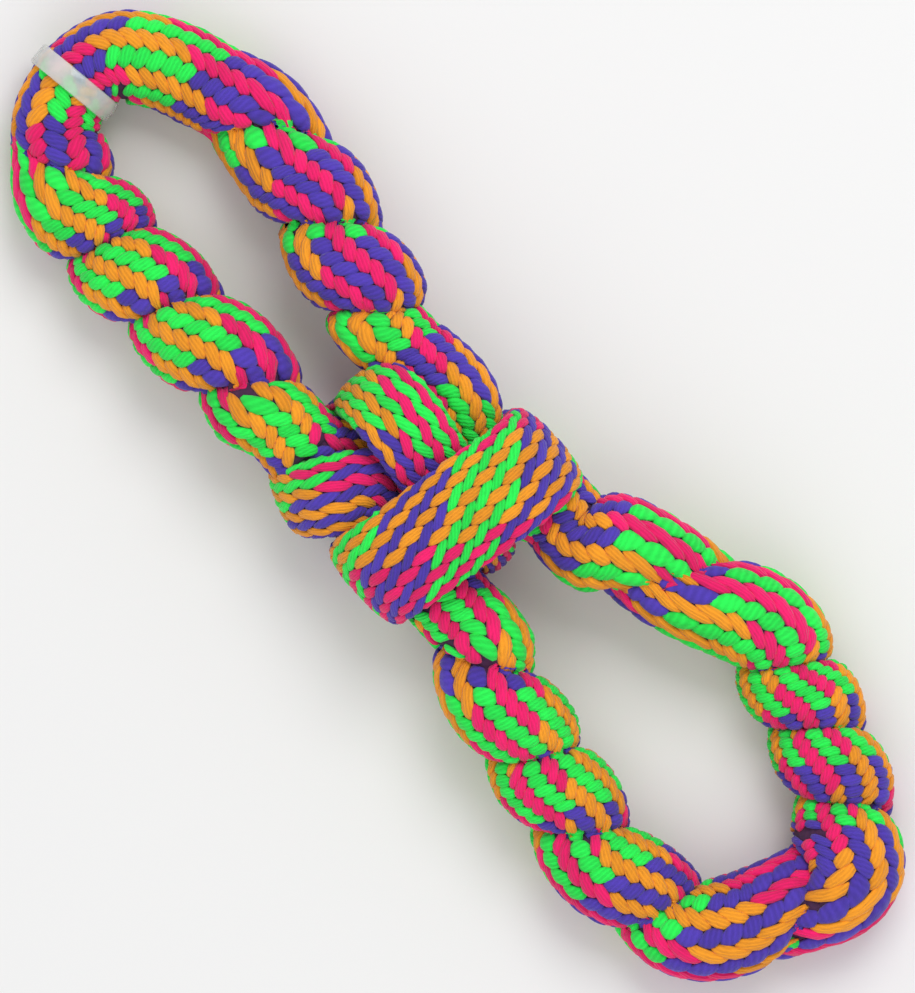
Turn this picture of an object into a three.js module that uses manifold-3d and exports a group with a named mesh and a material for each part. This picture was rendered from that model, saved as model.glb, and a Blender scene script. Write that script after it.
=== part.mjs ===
// A rope dog toy: one braided sleeve over an elastic core, closed into a ring and knotted at its middle,
// so that a shorter and a longer loop stand out from the knot. Millimetres, +Z up.
// The origin is the middle of the knot, on the surface that the toy lies on; +X runs along the toy to
// the longer loop, and +Y runs across it.

import * as THREE from 'three';
import { mergeVertices } from 'three/addons/utils/BufferGeometryUtils.js';
import Module from 'manifold-3d';

const wasm = await Module();
wasm.setup();

// Driving dimensions.
const shortLoopReach = 133; // from the knot's edge to the rope's middle at the crown
const shortLoopWidth = 56; // between the middles of the two limbs at their widest
const longLoopReach = 146;
const longLoopWidth = 88;
const knotLength = 80;
const knotWidth = 82;
const knotHeight = 61;
const sleeveRadius = 15.5;
const corkscrewSwing = 4; // how far the bunched sleeve winds off its middle line
const corkscrewPitch = 27;
const coreRadius = 4.7;
const coreClearance = 0.3;
const neighbourGap = 0.3;
const restingCut = 3; // how far the lowest humps are pressed flat
const ferruleLength = 7.5;
const ferruleWall = 0.8;
const ferruleClearance = 0.9; // room for the bend of the rope inside the ferrule
const sleeveSqueeze = 1.2; // how much the ferrule or the knot draws the sleeve in
const plugThickness = 4;
const neckLength = 44; // soft stretch beside the knot, where a loop folds

// Counts.
const sleeveSides = 12;
const stepsPerTurn = 8;
const stepsPerCoreRing = 4;
const bandSides = 12;
const ferruleSides = 24;
const bandSteps = 2; // between two points of a knot pass
const bandCoreSteps = 1;
const stepsPerHalfEnvelope = 24;
const stepsPerRoute = 2000;

// Derived sizes.
const boreRadius = coreRadius + coreClearance;
const sweptRadius = sleeveRadius + corkscrewSwing;
const crownHeight = sweptRadius - restingCut;
const exitHeight = knotHeight / 2;
const stepLength = corkscrewPitch / stepsPerTurn;
const fullTurn = Math.PI * 2;

// Colours of the four yarns and the other pieces.
const colours = {
  pink: 0xff2d73, green: 0x2ee65a, orange: 0xff9b28, purple: 0x5546b4, rubber: 0x2a2a2c, clear: 0xdfe6e2,
};
const finishes = {
  yarn: { roughness: 0.9, metalness: 0 },
  rubber: { roughness: 0.7, metalness: 0 },
  plastic: { roughness: 0.25, metalness: 0 },
};

const object = new THREE.Group();

function addMesh(name, geometry, colour, finish) {
  const material = new THREE.MeshStandardMaterial({ color: colour, ...finish });
  const mesh = new THREE.Mesh(geometry, material);
  mesh.name = name;
  object.add(mesh);
}

// Closed bodies from rings of points. Rings run along the piece; each has the same number of points.

function pushRing(positions, ring) {
  const first = positions.length / 3;
  ring.forEach((point) => positions.push(point.x, point.y, point.z));
  return first;
}

function skinRings(positions, indices, rings, inward) {
  const firsts = rings.map((ring) => pushRing(positions, ring));
  const sides = rings[0].length;
  for (let i = 0; i + 1 < rings.length; i += 1) {
    for (let j = 0; j < sides; j += 1) {
      const next = (j + 1) % sides;
      const a = firsts[i] + j;
      const b = firsts[i + 1] + j;
      const c = firsts[i + 1] + next;
      const d = firsts[i] + next;
      if (inward) {
        indices.push(a, c, b, a, d, c);
      } else {
        indices.push(a, b, c, a, c, d);
      }
    }
  }
  return firsts;
}

function capRing(positions, indices, ring, first, atEnd) {
  const middle = ring.reduce((sum, point) => sum.add(point), new THREE.Vector3()).divideScalar(ring.length);
  const centre = pushRing(positions, [middle]);
  for (let j = 0; j < ring.length; j += 1) {
    const next = (j + 1) % ring.length;
    if (atEnd) {
      indices.push(centre, first + next, first + j);
    } else {
      indices.push(centre, first + j, first + next);
    }
  }
}

function joinRings(indices, outer, inner, sides, atEnd) {
  for (let j = 0; j < sides; j += 1) {
    const next = (j + 1) % sides;
    const a = outer + j;
    const b = outer + next;
    const c = inner + next;
    const d = inner + j;
    if (atEnd) {
      indices.push(a, c, b, a, d, c);
    } else {
      indices.push(a, b, c, a, c, d);
    }
  }
}

function closedTube(outerRings, innerRings) {
  const positions = [];
  const indices = [];
  const outer = skinRings(positions, indices, outerRings, false);
  const sides = outerRings[0].length;
  if (innerRings) {
    const inner = skinRings(positions, indices, innerRings, true);
    joinRings(indices, outer[0], inner[0], sides, false);
    joinRings(indices, outer.at(-1), inner.at(-1), sides, true);
  } else {
    capRing(positions, indices, outerRings[0], outer[0], false);
    capRing(positions, indices, outerRings.at(-1), outer.at(-1), true);
  }
  const geometry = new THREE.BufferGeometry();
  geometry.setAttribute('position', new THREE.Float32BufferAttribute(positions, 3));
  geometry.setIndex(indices);
  return geometry;
}

function toSolid(geometry) {
  const bare = geometry.clone();
  bare.deleteAttribute('normal');
  bare.deleteAttribute('uv');
  const merged = mergeVertices(bare);
  return new wasm.Manifold(new wasm.Mesh({
    numProp: 3,
    vertProperties: new Float32Array(merged.attributes.position.array),
    triVerts: new Uint32Array(merged.index.array),
  }));
}

function toGeometry(solid) {
  const mesh = solid.getMesh();
  const geometry = new THREE.BufferGeometry();
  geometry.setAttribute('position', new THREE.Float32BufferAttribute(mesh.vertProperties, 3));
  geometry.setIndex(Array.from(mesh.triVerts));
  return geometry;
}

// Everything under the surface that the toy lies on.
const underside = new THREE.BoxGeometry(
  2 * (shortLoopReach + knotLength + longLoopReach), 2 * (longLoopWidth + knotWidth), knotHeight,
).translate(0, 0, -knotHeight / 2);
const undersideSolid = toSolid(underside);

function pressedFlat(geometry) {
  return toGeometry(toSolid(geometry).subtract(undersideSolid));
}

// The bunched sleeve. A ball of the sleeve's radius that runs along a helix leaves this radius in each
// direction, measured from the direction in which the helix stands at that section.
function corkscrewRadius(angle, radius, swing) {
  let widest = 0;
  for (let i = -stepsPerHalfEnvelope; i <= stepsPerHalfEnvelope; i += 1) {
    const turn = (i / stepsPerHalfEnvelope) * Math.PI;
    const along = (corkscrewPitch * turn) / fullTurn;
    const aside = swing * Math.sin(angle - turn);
    const square = radius * radius - along * along - aside * aside;
    if (square > 0) {
      widest = Math.max(widest, swing * Math.cos(angle - turn) + Math.sqrt(square));
    }
  }
  return widest;
}

// The two loops. Each route starts and ends at the knot's edge. A point is a share of the loop's reach,
// then a share of its width; the height falls from the knot's middle to the crown that lies on the floor.
const shortLoopShares = [
  [0, -0.38], [0.04, -0.38], [0.14, -0.375], [0.32, -0.395], [0.5, -0.425], [0.68, -0.43], [0.83, -0.38],
  [0.95, -0.22], [1, 0.05], [0.985, 0.3], [0.89, 0.5], [0.75, 0.62], [0.6, 0.69], [0.45, 0.67],
  [0.3, 0.58], [0.14, 0.505], [0.04, 0.43], [0, 0.43],
];
const longLoopShares = [
  [0, -0.22], [0.04, -0.22], [0.15, -0.3], [0.3, -0.35], [0.48, -0.4], [0.62, -0.44], [0.75, -0.42],
  [0.87, -0.35], [0.955, -0.2], [0.99, -0.02], [1.005, 0.15], [0.955, 0.3], [0.85, 0.4], [0.74, 0.475],
  [0.62, 0.53], [0.5, 0.58], [0.4, 0.555], [0.3, 0.48], [0.17, 0.395], [0.04, 0.3], [0, 0.3],
];

// Where the bunched sleeve stands out furthest, first to the left of its way and then to each side in
// turn, as shares of the route. The folds are uneven, as on the real toy.
const shortLoopFoldShares = [
  0.033, 0.104, 0.157, 0.214, 0.268, 0.304, 0.348, 0.428, 0.672, 0.783, 0.829, 0.89, 0.94, 0.99,
];
const longLoopFoldShares = [
  0.026, 0.086, 0.132, 0.17, 0.21, 0.264, 0.322, 0.376, 0.443, 0.534, 0.58, 0.618, 0.655, 0.695, 0.727,
  0.761, 0.833, 0.94, 0.989,
];
const leadShare = 0.04; // of the reach, over which a limb leaves the knot squarely
const fallShare = 0.75; // of the reach, by which a loop has come down to the floor

function loopRoute(shares, reach, width, side) {
  const points = shares.map(([along, across]) => {
    const fallen = THREE.MathUtils.smoothstep(along, leadShare, fallShare);
    const height = THREE.MathUtils.lerp(exitHeight, crownHeight, fallen);
    return new THREE.Vector3(side * (knotLength / 2 + along * reach), across * width, height);
  });
  const route = new THREE.CatmullRomCurve3(points, false, 'centripetal');
  route.arcLengthDivisions = stepsPerRoute;
  return route;
}

// How strongly the sleeve winds along a loop, as shares of its swing, and where along the route that
// changes, as shares of its length: nearly smooth round the ferrule, and crushed up at the long loop's
// sharper corner.
const smoothFromShares = [0.36, 0.44];
const smoothToShares = [0.64, 0.72];
const smoothedAwayShare = 0.85;
const cornerFromShares = [0.48, 0.53];
const cornerToShares = [0.54, 0.6];
const longSwingShare = 0.8;
const cornerSwingShare = 0.6;

function between(share, [rise, risen], [fall, fallen]) {
  return THREE.MathUtils.smoothstep(share, rise, risen) - THREE.MathUtils.smoothstep(share, fall, fallen);
}

function shortLoopBunching(share) {
  return 1 - smoothedAwayShare * between(share, smoothFromShares, smoothToShares);
}

function longLoopBunching(share) {
  return longSwingShare + cornerSwingShare * between(share, cornerFromShares, cornerToShares);
}

class Loop {
  constructor(route, bunching, foldShares) {
    this.route = route;
    this.bunching = bunching;
    this.length = route.getLength();
    this.folds = foldShares.map((share) => share * this.length);
    this.ferruleAt = null;
  }

  // The way the wound sleeve stands at a distance along the loop: half a turn from fold to fold.
  windingAngle(distance) {
    const halfPitch = corkscrewPitch / 2;
    const last = this.folds.length - 1;
    if (distance <= this.folds[0]) return Math.PI * (1 + (distance - this.folds[0]) / halfPitch);
    if (distance >= this.folds[last]) {
      return Math.PI * (1 + last + (distance - this.folds[last]) / halfPitch);
    }
    const next = this.folds.findIndex((fold) => fold > distance);
    const before = this.folds[next - 1];
    return Math.PI * (next + (distance - before) / (this.folds[next] - before));
  }

  frame(distance) {
    const share = THREE.MathUtils.clamp(distance / this.length, 0, 1);
    const tangent = this.route.getTangentAt(share);
    const up = new THREE.Vector3(0, 0, 1);
    const across = new THREE.Vector3().crossVectors(tangent, up).normalize();
    const normal = new THREE.Vector3().crossVectors(across, tangent);
    return { point: this.route.getPointAt(share), across, normal };
  }

  ring(distance, sides, radiusAt) {
    const { point, across, normal } = this.frame(distance);
    return Array.from({ length: sides }, (unused, j) => {
      const angle = (j / sides) * fullTurn;
      const radius = radiusAt(angle);
      return point.clone().addScaledVector(across, radius * Math.cos(angle))
        .addScaledVector(normal, radius * Math.sin(angle));
    });
  }

  // How tightly the ferrule or the knot holds the sleeve at a distance along it, from 0 to 1.
  squeeze(distance) {
    const toKnot = Math.min(distance, this.length - distance);
    const byKnot = 1 - THREE.MathUtils.smoothstep(toKnot, 0, sleeveRadius);
    if (this.ferruleAt === null) return byKnot;
    const toFerrule = Math.abs(distance - this.ferruleAt) - ferruleLength / 2;
    return Math.max(byKnot, 1 - THREE.MathUtils.smoothstep(toFerrule, 0, sleeveRadius));
  }

  sleeveRing(distance) {
    const share = distance / this.length;
    const squeeze = this.squeeze(distance);
    const swing = corkscrewSwing * this.bunching(share) * (1 - squeeze);
    const radius = sleeveRadius - sleeveSqueeze * squeeze;
    const winding = this.windingAngle(distance);
    return this.ring(distance, sleeveSides, (angle) => corkscrewRadius(angle - winding, radius, swing));
  }

  roundRing(distance, radius) {
    return this.ring(distance, sleeveSides, () => radius);
  }

  stations(from, to, step) {
    const count = Math.max(1, Math.round((to - from) / step));
    return Array.from({ length: count + 1 }, (unused, i) => THREE.MathUtils.lerp(from, to, i / count));
  }

  sleeve(from, to) {
    const outer = this.stations(from, to, stepLength);
    const inner = this.stations(from, to, stepLength * stepsPerCoreRing);
    return pressedFlat(closedTube(
      outer.map((distance) => this.sleeveRing(distance)),
      inner.map((distance) => this.roundRing(distance, boreRadius)),
    ));
  }

  core(from, to) {
    const rings = this.stations(from, to, stepLength * stepsPerCoreRing);
    return closedTube(rings.map((distance) => this.roundRing(distance, coreRadius)), null);
  }
}

const shortLoop = new Loop(
  loopRoute(shortLoopShares, shortLoopReach, shortLoopWidth, -1), shortLoopBunching, shortLoopFoldShares,
);
const longLoop = new Loop(
  loopRoute(longLoopShares, longLoopReach, longLoopWidth, 1), longLoopBunching, longLoopFoldShares,
);

// The share of each loop's length in a limb: the bunched stretch that opens out when the toy is pulled.
const limbShare = 0.2;

// The share of the short loop's length at which the rope's two ends meet, inside the ferrule.
const ferruleShare = 0.487;
shortLoop.ferruleAt = ferruleShare * shortLoop.length;

const sleeveColours = {
  short_loop_left: colours.pink, short_loop_right: colours.orange,
  long_loop_left: colours.green, long_loop_right: colours.purple,
};

function addStretch(loop, name, from, to, colour, startsAtPlug, endsAtPlug) {
  const start = from + (startsAtPlug ? plugThickness / 2 + neighbourGap : neighbourGap / 2);
  const end = to - (endsAtPlug ? plugThickness / 2 + neighbourGap : neighbourGap / 2);
  addMesh(`${name}_sleeve`, loop.sleeve(start, end), colour, finishes.yarn);
  addMesh(`${name}_core`, loop.core(start, end), colours.rubber, finishes.rubber);
}

function addLimbs(loop, name, crownMiddle) {
  const left = sleeveColours[`${name}_left`];
  const right = sleeveColours[`${name}_right`];
  const bend = neckLength;
  const crown = neckLength + limbShare * loop.length;
  const atPlug = loop.ferruleAt !== null;
  addStretch(loop, `${name}_left_neck`, 0, bend, left, false, false);
  addStretch(loop, `${name}_left_limb`, bend, crown, left, false, false);
  addStretch(loop, `${name}_left_crown`, crown, crownMiddle, left, false, atPlug);
  addStretch(loop, `${name}_right_crown`, crownMiddle, loop.length - crown, right, atPlug, false);
  addStretch(loop, `${name}_right_limb`, loop.length - crown, loop.length - bend, right, false, false);
  addStretch(loop, `${name}_right_neck`, loop.length - bend, loop.length, right, false, false);
}

addLimbs(shortLoop, 'short_loop', shortLoop.ferruleAt);
addLimbs(longLoop, 'long_loop', longLoop.length / 2);

// The clear band shrunk over the joint, a straight ring, and the plug of melted yarn inside it.
const squeezedRadius = sleeveRadius - sleeveSqueeze;
const ferruleBore = squeezedRadius + ferruleClearance;

function straightRings(length, radius) {
  const { point, across, normal } = shortLoop.frame(shortLoop.ferruleAt);
  const along = new THREE.Vector3().crossVectors(normal, across);
  return [-1, 1].map((end) => Array.from({ length: ferruleSides }, (unused, j) => {
    const angle = (j / ferruleSides) * fullTurn;
    return point.clone().addScaledVector(along, (end * length) / 2)
      .addScaledVector(across, radius * Math.cos(angle)).addScaledVector(normal, radius * Math.sin(angle));
  }));
}

addMesh('clear_ferrule', closedTube(
  straightRings(ferruleLength, ferruleBore + ferruleWall), straightRings(ferruleLength, ferruleBore),
), colours.clear, finishes.plastic);
addMesh('melted_end_plug', closedTube(
  [-1, 1].map((end) => shortLoop.roundRing(
    shortLoop.ferruleAt + end * plugThickness / 2, squeezedRadius - neighbourGap,
  )), null,
), colours.purple, finishes.rubber);

// The knot. The right limb of the short loop runs straight through to the right limb of the long loop.
// The left limb dives to the back, comes up round the knot's right edge as the broad front wrap, goes
// down round the left edge, crosses the back, rises in the middle, wraps the entering limb from over its
// right side to behind it and up on its left, and leaves as the left limb of the long loop.
// Each point: share of half the knot's length, of half its width, of its height, then half the band's
// width and half its thickness as shares of the squeezed sleeve's radius, then the way its face looks.
const straightRouteShares = [
  [-1, 0.587, 0.5, 1, 1, 0, 0, 1],
  [-0.9, 0.587, 0.5, 1, 1, 0, 0, 1],
  [-0.65, 0.61, 0.51, 1.08, 0.98, 0, 0, 1],
  [-0.3, 0.63, 0.52, 1.04, 0.86, 0, 0, 1],
  [0.05, 0.51, 0.48, 0.78, 0.72, 0, 0, 1],
  [0.42, 0.43, 0.45, 0.74, 0.68, 0, 0, 1],
  [0.68, 0.48, 0.47, 0.82, 0.78, 0, 0, 1],
  [0.9, 0.644, 0.5, 1, 1, 0, 0, 1],
  [1, 0.644, 0.5, 1, 1, 0, 0, 1],
];
const woundRouteShares = [
  [-1, -0.519, 0.5, 1, 1, 0, 0, -1],
  [-0.9, -0.519, 0.5, 1, 1, 0, 0, -1],
  [-0.68, -0.42, 0.48, 0.9, 0.83, 0, 0, -1],
  [-0.42, -0.2, 0.36, 0.88, 0.7, 0, 0, -1],
  [-0.15, 0.03, 0.145, 0.95, 0.64, 0, 0, -1],
  [0.08, 0.24, 0.1, 1.03, 0.62, 0, 0, -1],
  [0.25, 0.5, 0.12, 1.07, 0.54, 0, 0.15, -1],
  [0.37, 0.72, 0.2, 1.13, 0.48, 0, 0.6, -0.8],
  [0.45, 0.875, 0.38, 1.16, 0.42, 0, 0.97, -0.25],
  [0.48, 0.885, 0.6, 1.2, 0.42, 0, 0.97, 0.25],
  [0.49, 0.76, 0.8, 1.25, 0.43, 0, 0.7, 0.7],
  [0.47, 0.415, 0.885, 1.28, 0.45, 0, 0.15, 1],
  [0.42, 0, 0.895, 1.28, 0.45, 0, 0, 1],
  [0.38, -0.415, 0.88, 1.28, 0.45, 0, -0.2, 1],
  [0.335, -0.71, 0.79, 1.28, 0.45, 0, -0.7, 0.7],
  [0.32, -0.83, 0.59, 1.26, 0.45, 0, -1, 0.15],
  [0.325, -0.82, 0.36, 1.24, 0.45, 0, -1, -0.2],
  [0.35, -0.66, 0.17, 1.17, 0.48, 0, -0.6, -0.8],
  [0.4, -0.36, 0.11, 1.08, 0.48, 0, -0.1, -1],
  [0.58, -0.05, 0.12, 0.85, 0.45, 0.35, 0, -0.9],
  [0.79, 0.03, 0.26, 0.62, 0.41, 0.9, 0, -0.4],
  [0.83, 0.05, 0.46, 0.55, 0.38, 1, 0, 0.1],
  [0.69, 0.09, 0.61, 0.62, 0.38, 0.6, 0, 0.8],
  [0.42, 0.1, 0.665, 0.72, 0.38, 0.1, 0, 1],
  [0.15, 0.11, 0.68, 0.87, 0.4, 0, 0, 1],
  [-0.14, 0.16, 0.76, 0.99, 0.45, 0, 0, 1],
  [-0.44, 0.2, 0.82, 1.01, 0.48, -0.05, 0, 1],
  [-0.71, 0.2, 0.75, 0.98, 0.48, -0.5, 0, 0.85],
  [-0.84, 0.13, 0.58, 0.8, 0.48, -1, 0, 0.15],
  [-0.82, 0.03, 0.33, 0.66, 0.48, -0.9, 0, -0.4],
  [-0.77, -0.22, 0.12, 0.68, 0.47, -0.3, 0, -1],
  [-0.75, -0.55, 0.12, 0.75, 0.46, -0.2, -0.2, -1],
  [-0.66, -0.81, 0.31, 0.81, 0.45, -0.35, -0.9, -0.3],
  [-0.55, -0.83, 0.55, 0.92, 0.45, -0.3, -0.9, 0.35],
  [-0.41, -0.63, 0.72, 0.97, 0.44, -0.1, -0.45, 0.9],
  [-0.25, -0.36, 0.66, 0.97, 0.4, 0, 0, 1],
  [-0.01, -0.24, 0.52, 0.88, 0.38, 0, 0, 1],
  [0.33, -0.3, 0.5, 0.79, 0.5, 0, 0, 1],
  [0.65, -0.4, 0.51, 0.81, 0.7, 0, 0, 1],
  [0.9, -0.472, 0.5, 1, 1, 0, 0, 1],
  [1, -0.472, 0.5, 1, 1, 0, 0, 1],
];

const squaredPowerShare = 0.78; // of the full power of the sine and cosine, on a band pressed flat
const coreThicknessShare = 0.48; // of the band's own thickness
const coreSpreadShare = 1.4; // of the core's radius

class Pass {
  constructor(shares, from, to) {
    const curve = (pick) => new THREE.CatmullRomCurve3(shares.map(pick), false, 'centripetal');
    this.route = curve(([x, y, z]) => new THREE.Vector3(
      x * knotLength / 2, y * knotWidth / 2, z * knotHeight,
    ));
    this.sizes = curve((row) => new THREE.Vector3(row[3], row[4], 0).multiplyScalar(squeezedRadius));
    this.faces = curve((row) => new THREE.Vector3(row[5], row[6], row[7]));
    this.spans = shares.length - 1;
    this.from = from;
    this.to = to;
  }

  // A place is counted in points of the route. Ends stand off by half a gap from what they meet.
  frame(place) {
    const share = place / this.spans;
    const tangent = this.route.getTangent(share);
    const face = this.faces.getPoint(share);
    const normal = face.addScaledVector(tangent, -face.dot(tangent)).normalize();
    const across = new THREE.Vector3().crossVectors(tangent, normal);
    const point = this.route.getPoint(share);
    if (place === this.from) point.addScaledVector(tangent, neighbourGap / 2);
    if (place === this.to) point.addScaledVector(tangent, -neighbourGap / 2);
    return { point, across, normal };
  }

  ring(place, halfWidth, halfHeight) {
    const { point, across, normal } = this.frame(place);
    const { power } = this.section(halfWidth, halfHeight);
    return Array.from({ length: bandSides }, (unused, j) => {
      const angle = (j / bandSides) * fullTurn;
      const cosine = Math.cos(angle);
      const sine = Math.sin(angle);
      const x = Math.sign(cosine) * Math.abs(cosine) ** power;
      const y = Math.sign(sine) * Math.abs(sine) ** power;
      return point.clone().addScaledVector(across, x * halfWidth).addScaledVector(normal, y * halfHeight);
    });
  }

  // A band that is pressed flat has a squarer section; a round one stays a circle.
  section(halfWidth, halfHeight) {
    const flatness = THREE.MathUtils.clamp(halfWidth / halfHeight - 1, 0, 1);
    return { power: THREE.MathUtils.lerp(1, squaredPowerShare, flatness) };
  }

  rings(stepsPerPoint, sizeAt) {
    const steps = (this.to - this.from) * stepsPerPoint;
    return Array.from({ length: steps + 1 }, (unused, i) => {
      const place = this.from + i / stepsPerPoint;
      const [halfWidth, halfHeight] = sizeAt(this.sizes.getPoint(place / this.spans));
      return this.ring(place, halfWidth, halfHeight);
    });
  }

  outer(extra) {
    return this.rings(bandSteps, (size) => [size.x + extra, size.y + extra]);
  }

  // The core is as flat as the band allows.
  inner(extra) {
    return this.rings(bandCoreSteps, (size) => {
      const height = Math.min(coreRadius, size.y * coreThicknessShare);
      const width = (coreRadius * coreRadius) / height;
      return [Math.min(width, coreRadius * coreSpreadShare) + extra, height + extra];
    });
  }

  sleeveSolid() {
    return toSolid(closedTube(this.outer(0), this.inner(coreClearance)));
  }

  clearanceSolid() {
    return toSolid(closedTube(this.outer(neighbourGap), null));
  }

  core() {
    return closedTube(this.inner(0), null);
  }
}

function largestBody(solid) {
  return solid.decompose().sort((first, second) => second.volume() - first.volume())[0];
}

// From the pass that keeps its full shape to the one that gives way to all the others.
const passes = [
  ['knot_front_wrap', woundRouteShares, 7, 17, colours.green],
  ['knot_side_wrap', woundRouteShares, 24, 36, colours.orange],
  ['knot_straight_pass', straightRouteShares, 0, straightRouteShares.length - 1, colours.green],
  ['knot_diving_pass', woundRouteShares, 0, 7, colours.pink],
  ['knot_exit_pass', woundRouteShares, 36, woundRouteShares.length - 1, colours.purple],
  ['knot_back_pass', woundRouteShares, 17, 24, colours.purple],
];
const taken = [];
passes.forEach(([name, shares, from, to, colour]) => {
  const pass = new Pass(shares, from, to);
  let solid = pass.sleeveSolid().subtract(undersideSolid);
  taken.forEach((clearance) => {
    solid = solid.subtract(clearance);
  });
  taken.push(pass.clearanceSolid());
  addMesh(`${name}_sleeve`, toGeometry(largestBody(solid)), colour, finishes.yarn);
  addMesh(`${name}_core`, pass.core(), colours.rubber, finishes.rubber);
});

export default object;
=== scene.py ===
import math

import bpy
import numpy as np
from mathutils import Matrix, Vector


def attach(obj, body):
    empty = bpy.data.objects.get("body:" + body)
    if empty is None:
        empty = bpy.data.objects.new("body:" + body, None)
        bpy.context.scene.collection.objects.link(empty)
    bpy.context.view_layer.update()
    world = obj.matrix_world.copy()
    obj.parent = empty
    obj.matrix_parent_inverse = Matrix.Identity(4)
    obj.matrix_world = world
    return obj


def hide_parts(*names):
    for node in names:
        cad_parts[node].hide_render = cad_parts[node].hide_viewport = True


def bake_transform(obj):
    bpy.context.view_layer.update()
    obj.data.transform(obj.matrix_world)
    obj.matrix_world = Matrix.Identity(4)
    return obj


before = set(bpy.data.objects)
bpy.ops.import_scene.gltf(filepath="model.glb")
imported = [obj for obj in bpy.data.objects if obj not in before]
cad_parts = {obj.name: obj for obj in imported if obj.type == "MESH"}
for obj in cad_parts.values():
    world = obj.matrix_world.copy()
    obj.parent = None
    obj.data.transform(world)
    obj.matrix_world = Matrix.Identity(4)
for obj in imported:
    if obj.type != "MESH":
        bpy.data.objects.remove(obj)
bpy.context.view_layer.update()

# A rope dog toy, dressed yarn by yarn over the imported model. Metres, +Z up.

MM = 0.001
TURN = 2 * math.pi

# The rope's routes and sizes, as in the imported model.
SHORT_LOOP_REACH = 133 * MM
SHORT_LOOP_WIDTH = 56 * MM
LONG_LOOP_REACH = 146 * MM
LONG_LOOP_WIDTH = 88 * MM
KNOT_LENGTH = 80 * MM
KNOT_WIDTH = 82 * MM
KNOT_HEIGHT = 61 * MM
SLEEVE_RADIUS = 15.5 * MM
CORKSCREW_SWING = 4 * MM
CORKSCREW_PITCH = 27 * MM
CORE_RADIUS = 4.7 * MM
CORE_CLEARANCE = 0.3 * MM
NEIGHBOUR_GAP = 0.3 * MM
RESTING_CUT = 3 * MM
FERRULE_LENGTH = 7.5 * MM
FERRULE_WALL = 0.8 * MM
FERRULE_CLEARANCE = 0.9 * MM
SLEEVE_SQUEEZE = 1.2 * MM
NECK_LENGTH = 44 * MM
LIMB_SHARE = 0.2
FERRULE_SHARE = 0.487

BORE_RADIUS = CORE_RADIUS + CORE_CLEARANCE
SQUEEZED_RADIUS = SLEEVE_RADIUS - SLEEVE_SQUEEZE
CROWN_HEIGHT = SLEEVE_RADIUS + CORKSCREW_SWING - RESTING_CUT
EXIT_HEIGHT = KNOT_HEIGHT / 2

SHORT_LOOP_SHARES = [
    [0, -0.38], [0.04, -0.38], [0.14, -0.375], [0.32, -0.395], [0.5, -0.425], [0.68, -0.43], [0.83, -0.38],
    [0.95, -0.22], [1, 0.05], [0.985, 0.3], [0.89, 0.5], [0.75, 0.62], [0.6, 0.69], [0.45, 0.67],
    [0.3, 0.58], [0.14, 0.505], [0.04, 0.43], [0, 0.43],
]
LONG_LOOP_SHARES = [
    [0, -0.22], [0.04, -0.22], [0.15, -0.3], [0.3, -0.35], [0.48, -0.4], [0.62, -0.44], [0.75, -0.42],
    [0.87, -0.35], [0.955, -0.2], [0.99, -0.02], [1.005, 0.15], [0.955, 0.3], [0.85, 0.4], [0.74, 0.475],
    [0.62, 0.53], [0.5, 0.58], [0.4, 0.555], [0.3, 0.48], [0.17, 0.395], [0.04, 0.3], [0, 0.3],
]
SHORT_FOLD_SHARES = [
    0.033, 0.104, 0.157, 0.214, 0.268, 0.304, 0.348, 0.428, 0.672, 0.783, 0.829, 0.89, 0.94, 0.99,
]
LONG_FOLD_SHARES = [
    0.026, 0.086, 0.132, 0.17, 0.21, 0.264, 0.322, 0.376, 0.443, 0.534, 0.58, 0.618, 0.655, 0.695, 0.727,
    0.761, 0.833, 0.94, 0.989,
]
LEAD_SHARE = 0.04
FALL_SHARE = 0.75
SMOOTH_FROM_SHARES = [0.36, 0.44]
SMOOTH_TO_SHARES = [0.64, 0.72]
SMOOTHED_AWAY_SHARE = 0.85
CORNER_FROM_SHARES = [0.48, 0.53]
CORNER_TO_SHARES = [0.54, 0.6]
LONG_SWING_SHARE = 0.8
CORNER_SWING_SHARE = 0.6

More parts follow.
